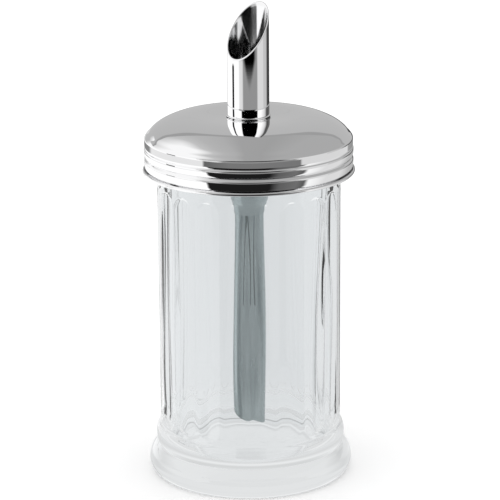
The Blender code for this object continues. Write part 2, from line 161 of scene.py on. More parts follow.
def pushed(grid, amount):
    """Moves each point of a turned grid straight out from the Z axis by its own amount."""
    radius = np.hypot(grid[..., 0], grid[..., 1])
    scale = (radius + amount) / np.maximum(radius, 1e-9)
    return np.concatenate([grid[..., :2] * scale[..., None], grid[..., 2:]], axis=-1)


def skin(name, grid, material, loop=False, sharp=50.0):
    """A piece through a grid of points. Its columns close round. Its rows close round too where loop is set,
    and otherwise the first and the last row each close to their middle point. Edges that bend by more than
    the sharp angle, in degrees, are shaded sharp."""
    rows, columns, _ = grid.shape
    index = np.arange(rows * columns).reshape(rows, columns)
    near, far = (index, np.roll(index, -1, axis=0)) if loop else (index[:-1], index[1:])
    quads = np.stack([near, far, np.roll(far, -1, axis=1), np.roll(near, -1, axis=1)], axis=-1).reshape(-1, 4)
    points = grid.reshape(-1, 3)
    faces = quads.tolist()
    if not loop:
        points = np.vstack([points, grid[[0, -1]].mean(axis=1)])
        first, last = index[0], index[-1]
        faces += np.stack([np.full(columns, rows * columns), first, np.roll(first, -1)], axis=-1).tolist()
        faces += np.stack([np.full(columns, rows * columns + 1), np.roll(last, -1), last], axis=-1).tolist()
    mesh = bpy.data.meshes.new(name)
    mesh.from_pydata(points.tolist(), [], faces)
    mesh.shade_smooth()
    mesh.set_sharp_from_angle(angle=radians(sharp))
    mesh.materials.append(material)
    piece = bpy.data.objects.new(name, mesh)
    bpy.context.scene.collection.objects.link(piece)
    return piece


def flute_sink(angle, height):
    """Depth of the flutes: across each a parabola, deepest in the middle and with softened edges, which fades
    out past a half-ellipse at either end."""
    across = np.abs((angle / (2 * pi) * flute_count) % 1.0 * 2 - 1)
    from_edge = np.sqrt((1 - across)**2 + flute_edge_share**2) - flute_edge_share
    bowl = 1 - (1 - np.clip(from_edge, 0, 1))**2
    reach = flute_arch * (1 - np.sqrt(np.clip(1 - across**2, 0, 1)))
    inside = np.minimum(flute_top - reach - height, height - flute_low - reach)
    ramp = np.clip(inside / flute_fade, 0, 1)
    return flute_depth * bowl * ramp * ramp * (3 - 2 * ramp)


def bore_waves(angle, height):
    """The unevenness of the pressed bore, never inwards: two sets of long ripples that drift round with the
    height, faded out towards the floor and the neck."""
    climb = height / wave_climb
    broad = np.sin(broad_waves * angle + 1.3 * np.sin(climb) + 0.4)
    fine = np.sin(fine_waves * angle - 1.7 * climb + 2.0)
    above_floor = np.clip((height - floor_thick - floor_corner) / wave_fade_low, 0, 1)
    below_neck = np.clip((neck_low - height) / wave_fade_high, 0, 1)
    return wave_depth * above_floor * below_neck * (1.5 + broad + 0.5 * fine)


def thread_ridge(angle, height, first_height, turns):
    """Height of a screw thread's ridge: half a cosine wave across, one pitch up a turn, faded in and out."""
    turned = angle / (2 * pi)
    climb = (height - first_height) / thread_pitch
    turned = turned + np.round(climb - turned)
    wave = 0.5 * (1 + np.cos(pi * np.clip((climb - turned) * thread_pitch / thread_half_width, -1, 1)))
    begun = np.clip(turned / thread_fade_turns, 0, 1)
    unfinished = np.clip((turns - turned) / thread_fade_turns, 0, 1)
    return thread_depth * wave * begun * unfinished


def share_points(shares, start_r, swell, start_z, rise):
    """Profile points from a table of shares of a swell and of a rise."""
    return [(start_r + swell * r, start_z + rise * z) for r, z in shares]


def at_radius(line, radius):
    """Which points of a profile lie at a radius, as a column."""
    return (np.abs(line[:, 0] - radius) < 1e-7)[:, None]


class Signal:
    """One socket of a material's node tree. A sum, difference, product or quotient adds its Math node."""

    def __init__(self, tree, socket=None):
        self.tree = tree
        self.socket = socket

    def node(self, kind, settings=None, inputs=None, output=0):
        """Adds a node, applies its settings, then gives its sockets their values or links."""
        made = self.tree.nodes.new(kind)
        for name, value in (settings or {}).items():
            if name == "stops":
                ramp = made.color_ramp.elements
                while len(ramp) < len(value):
                    ramp.new(1.0)
                for stop, (place, colour) in zip(ramp, value):
                    stop.position = place
                    stop.color = (*colour, 1.0)
            else:
                setattr(made, name, value)
        for name, value in (inputs or {}).items():
            if isinstance(value, Signal):
                self.tree.links.new(value.socket, made.inputs[name])
            else:
                made.inputs[name].default_value = value
        return Signal(self.tree, made.outputs[output])

    def math(self, operation, first, second=0.0):
        """The result of a Math node."""
        return self.node("ShaderNodeMath", {"operation": operation}, {0: first, 1: second})

    def __add__(self, other):
        return self.math("ADD", self, other)

    def __radd__(self, other):
        return self.math("ADD", other, self)

    def __sub__(self, other):
        return self.math("SUBTRACT", self, other)

    def __rsub__(self, other):
        return self.math("SUBTRACT", other, self)

    def __mul__(self, other):
        return self.math("MULTIPLY", self, other)

    def __rmul__(self, other):
        return self.math("MULTIPLY", other, self)

    def __truediv__(self, other):
        return self.math("DIVIDE", self, other)


def new_material(name):
    """A material with a Principled shader, and its signal to build on."""
    material = bpy.data.materials.new(name)
    material.use_nodes = True
    return material, material.node_tree.nodes["Principled BSDF"], Signal(material.node_tree)


def noise(start, place, scale, detail=3.0):
    """A smooth random value of about 0 to 1 at a place."""
    return start.node("ShaderNodeTexNoise", None, {"Vector": place, "Scale": scale, "Detail": detail})


def stretched(start, scale):
    """Object coordinates, each axis scaled by its own amount."""
    place = start.node("ShaderNodeTexCoord", None, None, "Object")
    return start.node("ShaderNodeMapping", None, {"Vector": place, "Scale": scale})


def object_axes(start, axes="XYZ"):
    """Object coordinates, one signal for each of the axes named."""
    place = start.node("ShaderNodeTexCoord", None, None, "Object")
    return [start.node("ShaderNodeSeparateXYZ", None, {"Vector": place}, axis) for axis in axes]


def graded(start, share, stops):
    """The colour that a table of stops has at a share of 0 to 1."""
    return start.node("ShaderNodeValToRGB", {"stops": stops}, {"Fac": share})


def mixed(start, share, first, second):
    """The first colour where the share is 0, the second where it is 1, and a blend between."""
    return start.node("ShaderNodeMix", {"data_type": "RGBA"}, {0: share, 6: first, 7: second}, 2)


def drive(shader, name, signal):
    """Lets a signal set one input of the shader."""
    signal.tree.links.new(signal.socket, shader.inputs[name])


def bumped(start, shader, height, distance, strength):
    """Gives the shader a normal that follows a height signal."""
    bump = start.node("ShaderNodeBump", None, {"Height": height, "Distance": distance, "Strength": strength})
    drive(shader, "Normal", bump)


def clear_glass():
    """Clear pressed glass: faint waves from the mould, and a trace of haze in patches."""
    material, shader, start = new_material("clear_glass_look")
    shader.inputs["Base Color"].default_value = glass_colour
    shader.inputs["Transmission Weight"].default_value = 1.0
    shader.inputs["IOR"].default_value = glass_index
    haze = noise(start, stretched(start, (1.0, 1.0, 0.5)), 60.0)
    drive(shader, "Roughness", start.math("MAXIMUM", haze - haze_from, 0.0) * haze_roughness)
    waves = noise(start, stretched(start, (1.0, 1.0, 0.35)), 140.0, 1.0)
    bumped(start, shader, waves, mould_bump, 0.5)
    return material


profile = np.vstack([
    straight((middle_r, floor_thick), (bore_r - floor_corner, floor_thick), 8),
    arc((bore_r - floor_corner, floor_thick + floor_corner), floor_corner, -90, 0, 16),
    straight((bore_r, floor_thick + 2 * floor_corner), (bore_r, jar_height - 2 * mm), 26),
    arc((bore_r + rim_in, jar_height - rim_in), rim_in, 180, 90, 4),
    arc((neck_r - rim_out, jar_height - rim_out), rim_out, 90, 0, 6),
    straight((neck_r, jar_height - 1.1 * mm), (neck_r, neck_low), 30),
    smooth_line([
        (neck_r, neck_low),
        (body_r + 0.5 * mm, neck_low - 1.2 * mm),
        (body_r, neck_low - neck_fillet),
    ], 5),
    straight((body_r, body_top), (body_r, flute_top - arch_zone), 38),
    straight((body_r, flute_top - arch_zone), (body_r, flute_low + arch_zone), 22),
    straight((body_r, flute_low + arch_zone), (body_r, ring_top + 0.2 * mm), 26),
    smooth_line(share_points(ring_shares, body_r, ring_r - body_r, foot_height, ring_top - foot_height), 5),
    smooth_line(share_points(foot_shares, foot_base_r, foot_r - foot_base_r, 0.0, foot_height), 5),
    straight((foot_base_r - 0.3 * mm, 0.0), (punt_r, 0.0), 4),
    smooth_line([
        (punt_r, 0.0),
        (punt_r - punt_depth, 0.5 * punt_depth),
        (punt_r - 2 * punt_depth, punt_depth),
    ], 4),
    straight((punt_r - 3 * punt_depth, punt_depth), (middle_r, punt_depth), 5),
])
jar_grid = turn(profile, flute_columns * flute_count)
jar_angle = np.arctan2(jar_grid[..., 1], jar_grid[..., 0]) % (2 * pi)
jar_z = jar_grid[..., 2]
ridge = thread_ridge(jar_angle, jar_z, jar_thread_first, jar_thread_turns) * at_radius(profile, neck_r)
sunk = flute_sink(jar_angle, jar_z) * at_radius(profile, body_r)
waves = bore_waves(jar_angle, jar_z) * at_radius(profile, bore_r)
jar = skin("jar_of_glass", pushed(jar_grid, ridge - sunk + waves), clear_glass())
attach(jar, "jar")
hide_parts("glass_jar")


# Sealing ring
# A flat ring of soft silicone on the jar's rim, cut from sheet, with slightly rounded edges.
seal_low, seal_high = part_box("sealing_ring")
seal_in = bore_r
seal_edge = 0.3 * mm
silicone_tones = [(0.3, (0.74, 0.74, 0.72)), (0.7, (0.84, 0.84, 0.82))]


def rounded_box(inner, outer, low, high, corner, steps=4):
    """The profile of a ring of rectangular section with round corners, down the outside first."""
    return np.vstack([
        arc((outer - corner, high - corner), corner, 90, 0, steps),
        arc((outer - corner, low + corner), corner, 0, -90, steps),
        arc((inner + corner, low + corner), corner, -90, -180, steps),
        arc((inner + corner, high - corner), corner, 180, 90, steps),
    ])


def soft_silicone():
    """Milky silicone: matt, with a fine grain and slightly darker dusty patches."""
    material, shader, start = new_material("soft_silicone_look")
    patches = noise(start, stretched(start, (1.0, 1.0, 1.0)), 90.0)
    drive(shader, "Base Color", graded(start, patches, silicone_tones))
    drive(shader, "Roughness", 0.5 + patches * 0.2)
    bumped(start, shader, noise(start, stretched(start, (1.0, 1.0, 1.0)), 900.0), 0.02 * mm, 0.4)
    return material


seal_profile = rounded_box(seal_in, seal_high.x, seal_low.z, seal_high.z, seal_edge)
seal = skin("seal_of_silicone", turn(seal_profile, 160), soft_silicone(), loop=True)
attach(seal, "seal")
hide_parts("sealing_ring")


# Threaded insert
# A moulded plastic ring that the cap's crimp locks in place: one turn of thread inside, a groove outside for
# the crimp, and a flange over the seal.
insert_low, insert_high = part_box("thread_insert")
insert_r = insert_high.x
insert_root_r = insert_r - 1.1 * mm
insert_in = bore_r + 0.2 * mm
insert_flange = 1.2 * mm
insert_edge = 0.2 * mm
chamfer_in = 1.44 * mm
chamfer_down = 1.92 * mm
flange_low = insert_high.z - insert_flange
crimp_height = 6.1 * mm
crimp_depth = 0.45 * mm
crimp_half_width = 1.1 * mm
cap_low_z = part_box("screw_cap")[0].z
groove_z = cap_low_z + crimp_height
groove_half = crimp_half_width + 0.3 * mm
insert_thread_drop = 1.8 * mm
insert_thread_first = jar_thread_first - insert_thread_drop
insert_thread_turns = 1.0
plastic_tones = [(0.3, (0.82, 0.82, 0.81)), (0.7, (0.9, 0.9, 0.89))]


def moulded_plastic():
    """White moulded plastic: a satin skin with faint flow marks round it."""
    material, shader, start = new_material("moulded_plastic_look")
    flow = noise(start, stretched(start, (1.0, 1.0, 3.0)), 120.0)
    drive(shader, "Base Color", graded(start, flow, plastic_tones))
    drive(shader, "Roughness", 0.32 + flow * 0.15)
    bumped(start, shader, flow, 0.02 * mm, 0.3)
    return material


insert_profile = np.vstack([
    straight((insert_in, insert_high.z), (insert_r - chamfer_in, insert_high.z), 4),
    straight((insert_r - chamfer_in, insert_high.z), (insert_r, insert_high.z - chamfer_down), 4),
    straight((insert_r, insert_high.z - chamfer_down), (insert_r, groove_z + groove_half), 4),
    smooth_line([
        (insert_r, groove_z + groove_half),
        (insert_r - crimp_depth, groove_z + 0.35 * groove_half),
        (insert_r - crimp_depth, groove_z - 0.35 * groove_half),
        (insert_r, groove_z - groove_half),
    ], 4),
    straight((insert_r, groove_z - groove_half - 0.1 * mm), (insert_r, insert_low.z + insert_edge), 4),
    arc((insert_r - insert_edge, insert_low.z + insert_edge), insert_edge, 0, -90, 3),
    arc((insert_root_r + insert_edge, insert_low.z + insert_edge), insert_edge, -90, -180, 3),
    straight((insert_root_r, insert_low.z + 0.3 * mm), (insert_root_r, flange_low - 0.1 * mm), 40),
    straight((insert_root_r, flange_low), (insert_in, flange_low), 4),
    arc((insert_in, flange_low + insert_edge), insert_edge, -90, -180, 3),
    arc((insert_in, insert_high.z - insert_edge), insert_edge, 180, 100, 3),
])
insert_grid = turn(insert_profile, 240)
insert_angle = np.arctan2(insert_grid[..., 1], insert_grid[..., 0]) % (2 * pi)
insert_ridge = thread_ridge(insert_angle, insert_grid[..., 2], insert_thread_first, insert_thread_turns)
insert_grid = pushed(insert_grid, -insert_ridge * at_radius(insert_profile, insert_root_r))
insert = skin("insert_with_thread", insert_grid, moulded_plastic(), loop=True)
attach(insert, "cap")
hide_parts("thread_insert")


# Screw cap
# One pressing of thin steel, polished bright: a domed top with the spout's hole, a plain shoulder, a rolled
# crimp between two soft beads, and a rim curled outwards at the bottom.
cap_wall = 0.5 * mm
skirt_shares = (
    (0.0, 1.052), (-0.15, 1.03), (-0.5, 1.0), (0.3, 0.973), (0.8, 0.935), (0.85, 0.84), (0.5, 0.745),
    (-0.6, 0.675), (-1.7, 0.635), (-0.5, 0.59), (0.6, 0.545), (0.85, 0.49), (0.7, 0.38), (0.2, 0.27),
    (-0.5, 0.2), (-0.8, 0.156),
)
skirt_r = insert_r + 0.8 * mm
skirt_height = 12.2 * mm
step_height = 9.6 * mm
dome_rise = 9.1 * mm
curl_r = 0.75 * mm
bead_out = 0.25 * mm
waist_r = skirt_r - 0.2 * mm
cap_inset = 0.04 * mm
cap_foot = cap_low_z + cap_inset
spout_r = 7.8 * mm
hole_r = spout_r + 0.3 * mm
dome_shares = (
    (hole_r / skirt_r, 0.945), (0.387, 0.99), (0.515, 1.0), (0.619, 0.967), (0.722, 0.89), (0.799, 0.78),
    (0.876, 0.615), (0.933, 0.43), (0.966, 0.27), (0.985, 0.185), (0.998, 0.105), (1.0, 0.04),
)
polish_r = spout_r - 0.42 * mm
bright_colour = (0.78, 0.78, 0.785, 1.0)
dull_colour = (0.42, 0.47, 0.475, 1.0)


def thick_line(line, wall):
    """A closed profile from an open one: the line itself, then back along it one wall to its right."""
    step = np.gradient(line, axis=0)
    step /= np.linalg.norm(step, axis=1)[:, None]
    return np.vstack([line, (line + wall * np.stack([step[:, 1], -step[:, 0]], axis=1))[::-1]])


def polished_steel():
    """Bright polished steel: a mirror with fine rings from the polishing wheel, and soft smears in patches.
    The spout's bore is less smooth, and all that hangs below the cap's rim is dull."""
    material, shader, start = new_material("polished_steel_look")
    x, y, z = object_axes(start)
    radius = start.math("SQRT", x * x + y * y)
    rings = start.node("ShaderNodeCombineXYZ", None, {"X": radius, "Z": z})
    lines = noise(start, rings, 2600.0, 2.0)
    smears = noise(start, stretched(start, (1.0, 1.0, 1.0)), 55.0)
    bore = start.math("LESS_THAN", radius, polish_r)
    dull = start.math("LESS_THAN", z, cap_low_z)
    drive(shader, "Base Color", mixed(start, dull, bright_colour, dull_colour))
    shader.inputs["Metallic"].default_value = 1.0
    drive(shader, "Roughness", 0.01 + smears * 0.025 + bore * 0.09 + dull * 0.1)
    bumped(start, shader, lines * (1.0 - bore), 0.002 * mm, 0.25)
    return material


steel_bright = polished_steel()
cap_line = np.vstack([
    smooth_line([(skirt_r * r, cap_foot + skirt_height + dome_rise * z) for r, z in dome_shares], 7)[:-1],
    straight((skirt_r, cap_foot + skirt_height), (skirt_r, cap_foot + step_height + 0.5 * mm), 8),
    smooth_line([(skirt_r + bead_out * out, cap_foot + step_height * up) for out, up in skirt_shares], 7),
    arc((waist_r + curl_r - cap_wall, cap_foot + curl_r), curl_r - cap_wall, 180, 440, 14)[1:],
])
cap = skin("cap_of_steel", turn(thick_line(cap_line, cap_wall), 288), steel_bright, loop=True)
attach(cap, "cap")
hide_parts("screw_cap")


# Spout
# A drawn and polished steel tube pushed through the dome, cut off at a steep slant for the mouth. A small
# bead seats it on the dome, and its lower end narrows round the dosing tube.
spout_low_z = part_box("spout_tube")[0].z
spout_top_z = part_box("spout_tube")[1].z
spout_wall = 0.5 * mm
spout_bore_r = spout_r - spout_wall
mouth_slope = 1.28
mouth_heading = radians(52.0)
mouth_z = spout_top_z - mouth_slope * spout_r
seat_gap = 0.3 * mm
seat_z = cap_foot + skirt_height + dome_shares[0][1] * dome_rise + seat_gap
bead_height = 0.6 * mm
taper_length = 5.0 * mm
doser_r = 6.6 * mm
narrow_in = doser_r + 0.3 * mm
edge = 0.22 * mm


def slanted(grid, fixed_z, free_z, plane_z, slope, heading):
    """Stretches a turned grid to a slanting end: heights past fixed_z keep their share of the way to free_z,
    which becomes the plane's height at the point."""
    height = grid[..., 2]
    plane = plane_z + slope * (grid[..., 0] * cos(heading) + grid[..., 1] * sin(heading))
    share = (height - fixed_z) / (free_z - fixed_z)
    moved = np.where(share > 0, fixed_z + share * (plane - fixed_z), height)
    return np.concatenate([grid[..., :2], moved[..., None]], axis=-1)


stretch_z = seat_z + 2 * mm
spout_profile = np.vstack([
    straight((spout_r, mouth_z - edge), (spout_r, stretch_z), 40),
    straight((spout_r, stretch_z), (spout_r, seat_z + bead_height), 4),
    smooth_line([
        (spout_r, seat_z + bead_height),
        (spout_r + 0.3 * mm, seat_z + 0.75 * bead_height),
        (spout_r + 0.4 * mm, seat_z + 0.35 * bead_height),
        (spout_r + 0.25 * mm, seat_z + 0.02 * bead_height),
        (spout_r, seat_z),
    ], 4),
    straight((spout_r, seat_z - 0.2 * mm), (spout_r, spout_low_z + taper_length), 12),
    smooth_line([
        (spout_r, spout_low_z + taper_length),
        (spout_r - 0.3 * mm, spout_low_z + 0.8 * taper_length),
        (narrow_in + spout_wall, spout_low_z + 0.3 * taper_length),
        (narrow_in + spout_wall, spout_low_z),
    ], 5),
    smooth_line([
        (narrow_in, spout_low_z),
        (narrow_in, spout_low_z + 0.3 * taper_length),
        (spout_bore_r - 0.3 * mm, spout_low_z + 0.8 * taper_length),
        (spout_bore_r, spout_low_z + taper_length),
    ], 5),
    straight((spout_bore_r, spout_low_z + 1.1 * taper_length), (spout_bore_r, stretch_z), 16),
    straight((spout_bore_r, stretch_z), (spout_bore_r, mouth_z - edge), 40),
    arc((spout_bore_r + edge, mouth_z - edge), edge, 180, 90, 3),
    arc((spout_r - edge, mouth_z - edge), edge, 90, 0, 3),
])
spout_grid = slanted(turn(spout_profile, 224), stretch_z, mouth_z, mouth_z, mouth_slope, mouth_heading)
spout = skin("spout_of_steel", spout_grid, steel_bright, loop=True)
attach(spout, "cap")
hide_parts("spout_tube")


# Retaining ring
# A plain steel washer that grips the spout under the dome, stamped from sheet.
ring_low, ring_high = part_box("retaining_ring")
ring_edge = 0.15 * mm
drawn_tones = [(0.3, (0.5, 0.55, 0.55)), (0.7, (0.62, 0.66, 0.66))]


def drawn_steel():
    """Drawn steel, not polished: satin, with fine lines along the draw and a slightly dull, greenish grey."""
    material, shader, start = new_material("drawn_steel_look")
    lines = noise(start, stretched(start, (1.0, 1.0, 0.03)), 2200.0, 2.0)
    patches = noise(start, stretched(start, (1.0, 1.0, 0.4)), 120.0)
    drive(shader, "Base Color", graded(start, patches, drawn_tones))
    shader.inputs["Metallic"].default_value = 1.0
    drive(shader, "Roughness", 0.22 + lines * 0.2)
    bumped(start, shader, lines, 0.004 * mm, 0.4)
    return material


steel_drawn = drawn_steel()
ring_profile = rounded_box(hole_r, ring_high.x, ring_low.z, ring_high.z, ring_edge, 3)
retainer = skin("washer_of_steel", turn(ring_profile, 128), steel_drawn, loop=True)
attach(retainer, "cap")
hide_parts("retaining_ring")


# Dosing tube
# A thin tube rolled from dull strip, which hangs in the spout's narrow end by a flared collar. Its foot is
# cut at a slant above the jar's floor, so that one portion of sugar runs in. Halfway up, painted shade draws
# its seam as a thin dark line.
tube_low, tube_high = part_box("dosing_tube")
tube_wall = 0.5 * mm
tube_bore_r = doser_r - tube_wall
collar_r = tube_high.x
collar_low = spout_low_z + taper_length + 0.6 * mm
collar_height = 1.2 * mm
foot_slope = -0.34
foot_z = tube_low.z - foot_slope * doser_r
tube_fixed_z = foot_z + 10 * mm
seam_heading = radians(276.0)
seam_half_width = 0.2 * mm
seam_low = 66.0 * mm
seam_high = 104.0 * mm
# The dark colour of painted shade for the seam's line.
seam_shade_colour = (0.19, 0.22, 0.22, 1.0)
strip_tones = [(0.3, (0.24, 0.28, 0.285)), (0.5, (0.4, 0.45, 0.455)), (0.72, (0.5, 0.55, 0.555))]


def dull_strip():
    """Dull rolled strip: darker streaks along the tube, fine lines in its gloss, and a thin dark line of
    painted shade where its seam is.
    """
    material, shader, start = new_material("dull_strip_look")
    x, y, z = object_axes(start)
    lines = noise(start, stretched(start, (1.0, 1.0, 0.03)), 2200.0, 2.0)
    streaks = noise(start, stretched(start, (1.0, 1.0, 0.06)), 330.0, 1.5)
    # The seam is only a thin dark line of painted shade in the colour, on the front half of the tube, not a
    # gap in it.
    aside = start.math("ABSOLUTE", x * sin(seam_heading) - y * cos(seam_heading))
    seam_shade = start.math("LESS_THAN", aside, seam_half_width) * start.math("GREATER_THAN", z, seam_low)
    seam_shade = seam_shade * start.math("LESS_THAN", z, seam_high) * start.math("LESS_THAN", y, 0.0)
    drive(shader, "Base Color", mixed(start, seam_shade, graded(start, streaks, strip_tones), seam_shade_colour))
    shader.inputs["Metallic"].default_value = 1.0
    drive(shader, "Roughness", 0.16 + lines * 0.16)
    bumped(start, shader, lines, 0.004 * mm, 0.4)
    return material


tube_profile = np.vstack([
    arc((doser_r - edge, tube_high.z - edge), edge, 90, 0, 3),
    straight((doser_r, tube_high.z - 0.3 * mm), (doser_r, collar_low + collar_height + 0.3 * mm), 4),
    smooth_line([
        (doser_r, collar_low + collar_height + 0.3 * mm),
        (collar_r - 0.1 * mm, collar_low + collar_height - 0.05 * mm),
        (collar_r, collar_low + 0.5 * collar_height),
        (collar_r - 0.1 * mm, collar_low + 0.05 * mm),
        (doser_r, collar_low - 0.3 * mm),
    ], 4),
    straight((doser_r, collar_low - 0.5 * mm), (doser_r, tube_fixed_z), 24),
    straight((doser_r, tube_fixed_z), (doser_r, foot_z + edge), 10),
    arc((doser_r - edge, foot_z + edge), edge, 0, -90, 3),
    arc((tube_bore_r + edge, foot_z + edge), edge, -90, -180, 3),
    straight((tube_bore_r, foot_z + 2 * edge), (tube_bore_r, tube_fixed_z), 10),
    straight((tube_bore_r, tube_fixed_z), (tube_bore_r, tube_high.z - edge), 24),
    arc((tube_bore_r + edge, tube_high.z - edge), edge, 180, 90, 3),
])
tube_grid = slanted(turn(tube_profile, 160), tube_fixed_z, foot_z, foot_z, foot_slope, 0.0)
tube = skin("tube_of_steel", tube_grid, dull_strip(), loop=True)
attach(tube, "cap")
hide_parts("dosing_tube")


# Flap pin
# A short wire across the spout below the dome, off its axis, with both ends headed over outside the tube.
pin_joint = next(joint for joint in frame["joints"] if joint["name"] == "flap_swing")
pin_place = Vector(pin_joint["pos_m"])
pin_axis = Vector(pin_joint["axis"]).normalized()
uphill = Vector((cos(mouth_heading), sin(mouth_heading), 0.0))
pin_r = 0.6 * mm
pin_head_r = 1.0 * mm
pin_offset = sqrt(pin_place.x**2 + pin_place.y**2)
pin_end = sqrt(spout_r**2 - (pin_offset - pin_head_r)**2) + 0.8 * mm
pin_half = [
    (0.05 * mm, pin_end),
    (0.7 * pin_head_r, pin_end - 0.04 * mm),
    (0.95 * pin_head_r, pin_end - 0.15 * mm),
    (pin_head_r, pin_end - 0.3 * mm),
    (0.9 * pin_head_r, pin_end - 0.48 * mm),
    (pin_r, pin_end - 0.5 * mm),
    (pin_r, 0.5 * pin_end),
]


def set_in(grid, place, x_axis, y_axis, z_axis):
    """Puts a grid made round its own axes at a place with these three directions."""
    axes = np.array([list(x_axis), list(y_axis), list(z_axis)])
    return grid @ axes + np.array(list(place))


pin_profile = np.array(pin_half + [(r, -z) for r, z in reversed(pin_half)])
pin_grid = set_in(turn(pin_profile, 32), pin_place, uphill, (0, 0, 1), pin_axis)
pin = skin("pin_of_wire", pin_grid, steel_drawn)
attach(pin, "cap")
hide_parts("flap_pin")


# Flap
# A leaf of polished steel sheet. Its lower edge is rolled round the pin, and its round upper end leans on the
# tall side of the spout. It swings up by its own weight when the jar is turned over.
flap_tilt = radians(57.0)
leaf_thick = 0.5 * mm
leaf_half_width = 0.763 * spout_bore_r
knuckle_half_width = 0.6 * spout_bore_r
roll_r = pin_r + 0.55 * mm
leaf_reach = spout_bore_r - 0.3 * mm
leaf_back = leaf_thick / 2 * sin(flap_tilt)
leaf_end = (pin_offset + leaf_reach - leaf_back) / cos(flap_tilt)
leaf_round = (pin_offset + sqrt(leaf_reach**2 - leaf_half_width**2) - leaf_back) / cos(flap_tilt)


def leaf_width(along):
    """Half the leaf's width at a distance along it: narrow at the roll, full past it, elliptic at the end."""
    shoulder = np.clip((along - 1.2 * mm) / (0.5 * mm), 0, 1)
    shoulder = shoulder * shoulder * (3 - 2 * shoulder)
    full = knuckle_half_width + (leaf_half_width - knuckle_half_width) * shoulder
    across = np.sqrt(np.clip(leaf_reach**2 - (along * cos(flap_tilt) + leaf_back - pin_offset)**2, 0, None))
    return np.where(along < leaf_round, full, np.minimum(across, leaf_half_width))


roll_angle = np.radians(np.linspace(300, 0, 28, endpoint=False))
roll = roll_r * np.stack([np.cos(roll_angle), np.sin(roll_angle)], axis=1)
flat_along = leaf_end - (leaf_end - roll_r) * (1 - np.linspace(0, 1, 48)**0.7)[1:]
flat = np.stack([flat_along, np.zeros(len(flat_along))], axis=1)
path = np.vstack([roll, [(roll_r, 0.0)], flat])
normal = np.vstack([roll / roll_r, np.tile((0.0, 1.0), (len(flat_along) + 1, 1))])
lead = np.concatenate([np.zeros(len(roll)), [roll_r], flat_along])
width = np.where(lead > 0, leaf_width(np.maximum(lead, 0)), knuckle_half_width)
width[-1] = 0.05 * mm
across_share = np.concatenate([np.linspace(-1, 1, 13), np.linspace(1, -1, 13)])
side = np.concatenate([np.full(13, 0.5), np.full(13, -0.5)])
section = path[:, None, :] + leaf_thick * side[None, :, None] * normal[:, None, :]
leaf_grid = np.stack([section[..., 0], section[..., 1], width[:, None] * across_share[None, :]], axis=-1)
leaf_along = uphill * cos(flap_tilt) + Vector((0, 0, sin(flap_tilt)))
leaf_normal = pin_axis.cross(leaf_along)
leaf_grid = set_in(leaf_grid, pin_place, leaf_along, leaf_normal, pin_axis)
leaf = skin("leaf_of_steel", leaf_grid, steel_bright, sharp=35.0)
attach(leaf, "flap")
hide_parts("flap_leaf")


# Floor
# A pale sheet under the jar and far behind it, plain to the camera; metal and glass see painted shade on it
# instead. It fits the foot from below, hollow and all, because an air gap there would mirror the whole jar in
# its own base.
floor_half = 6.0
floor_rise = 0.05 * mm
floor_thickness = 0.01
floor_lift = 0.16
sheet_colour = (0.97, 0.97, 0.97, 1.0)
# Painted light and shade by direction, in degrees and levels, which metal and glass see on the floor past the
# rings.
far_painted_shade_tint = (0.985, 1.0, 1.01)
far_painted_shade_headings = [
    (0, 0.72), (25, 0.77), (150, 0.77), (165, 0.95), (205, 0.95), (222, 0.62), (318, 0.6), (335, 0.72),
    (359, 0.72),
]
# Rings of painted shade, by share of the reach and level, which metal and glass see near the jar: the
# darkest, just outside the foot, is a painted contact shadow, and one near the reach's end paints a thin dark
# line.
near_reach = 0.09
near_painted_shade_tint = (0.987, 1.0, 1.006)
near_painted_shade_rings = [
    (0.0, 0.77), (0.28, 0.78), (0.31, 0.66), (0.345, 0.86), (0.375, 0.68), (0.41, 0.75), (0.434, 0.76),
    (0.441, 0.42), (0.447, 0.5), (0.454, 0.78), (0.86, 0.79), (0.89, 0.56), (0.92, 0.79),
]


def ray(start, fact):
    """What the light path says of the present ray."""
    return start.node("ShaderNodeLightPath", None, None, fact)


def heading_share(start, x, y):
    """The direction round the Z axis as a share of a full turn, 0 along the X axis."""
    return start.math("FRACT", start.math("ARCTAN2", y, x) / (2 * pi) + 1.0)


def tinted(table, whole, tint=(1.0, 1.0, 1.0)):
    """Stops from rows of a place and a level: the place as a share of the whole, the level times the tint."""
    return [(place / whole, tuple(level * part for part in tint)) for place, level in table]


def pale_floor():
    """A matt, almost white sheet. The camera sees it a little lighter than it lights the jar. Mirrored or
    through glass it glows instead in set tones of painted shade: in rings near the jar, the darkest a painted
    contact shadow round the foot, and by direction past them. This is because the light that glass bends
    doesn't reach the sheet under the jar."""
    material, shader, start = new_material("pale_floor_look")
    shader.inputs["Base Color"].default_value = sheet_colour
    shader.inputs["Roughness"].default_value = 0.9
    shader.inputs["Specular IOR Level"].default_value = 0.0
    shader.inputs["Emission Strength"].default_value = 1.0
    drive(shader, "Emission Color", ray(start, "Is Camera Ray") * floor_lift)
    x, y = object_axes(start, "XY")
    reach = start.math("SQRT", x * x + y * y) / near_reach
    shade_near = graded(start, reach, tinted(near_painted_shade_rings, 1.0, near_painted_shade_tint))
    shade_far = graded(start, heading_share(start, x, y), tinted(far_painted_shade_headings, 360.0, far_painted_shade_tint))
    shade_tone = mixed(start, start.math("GREATER_THAN", reach, 1.0), shade_near, shade_far)
    # The glow that mirrored rays and rays through glass see: the painted shade above, in place of the lit
    # sheet.
    even = start.node("ShaderNodeEmission", None, {"Color": shade_tone, "Strength": 1.0})
    bent = start.math("MAXIMUM", ray(start, "Is Glossy Ray"), ray(start, "Is Transmission Ray"))
    matt = Signal(start.tree, shader.outputs[0])
    surface = start.node("ShaderNodeMixShader", None, {0: bent, 1: matt, 2: even})
    start.tree.links.new(surface.socket, material.node_tree.nodes["Material Output"].inputs["Surface"])
    return material


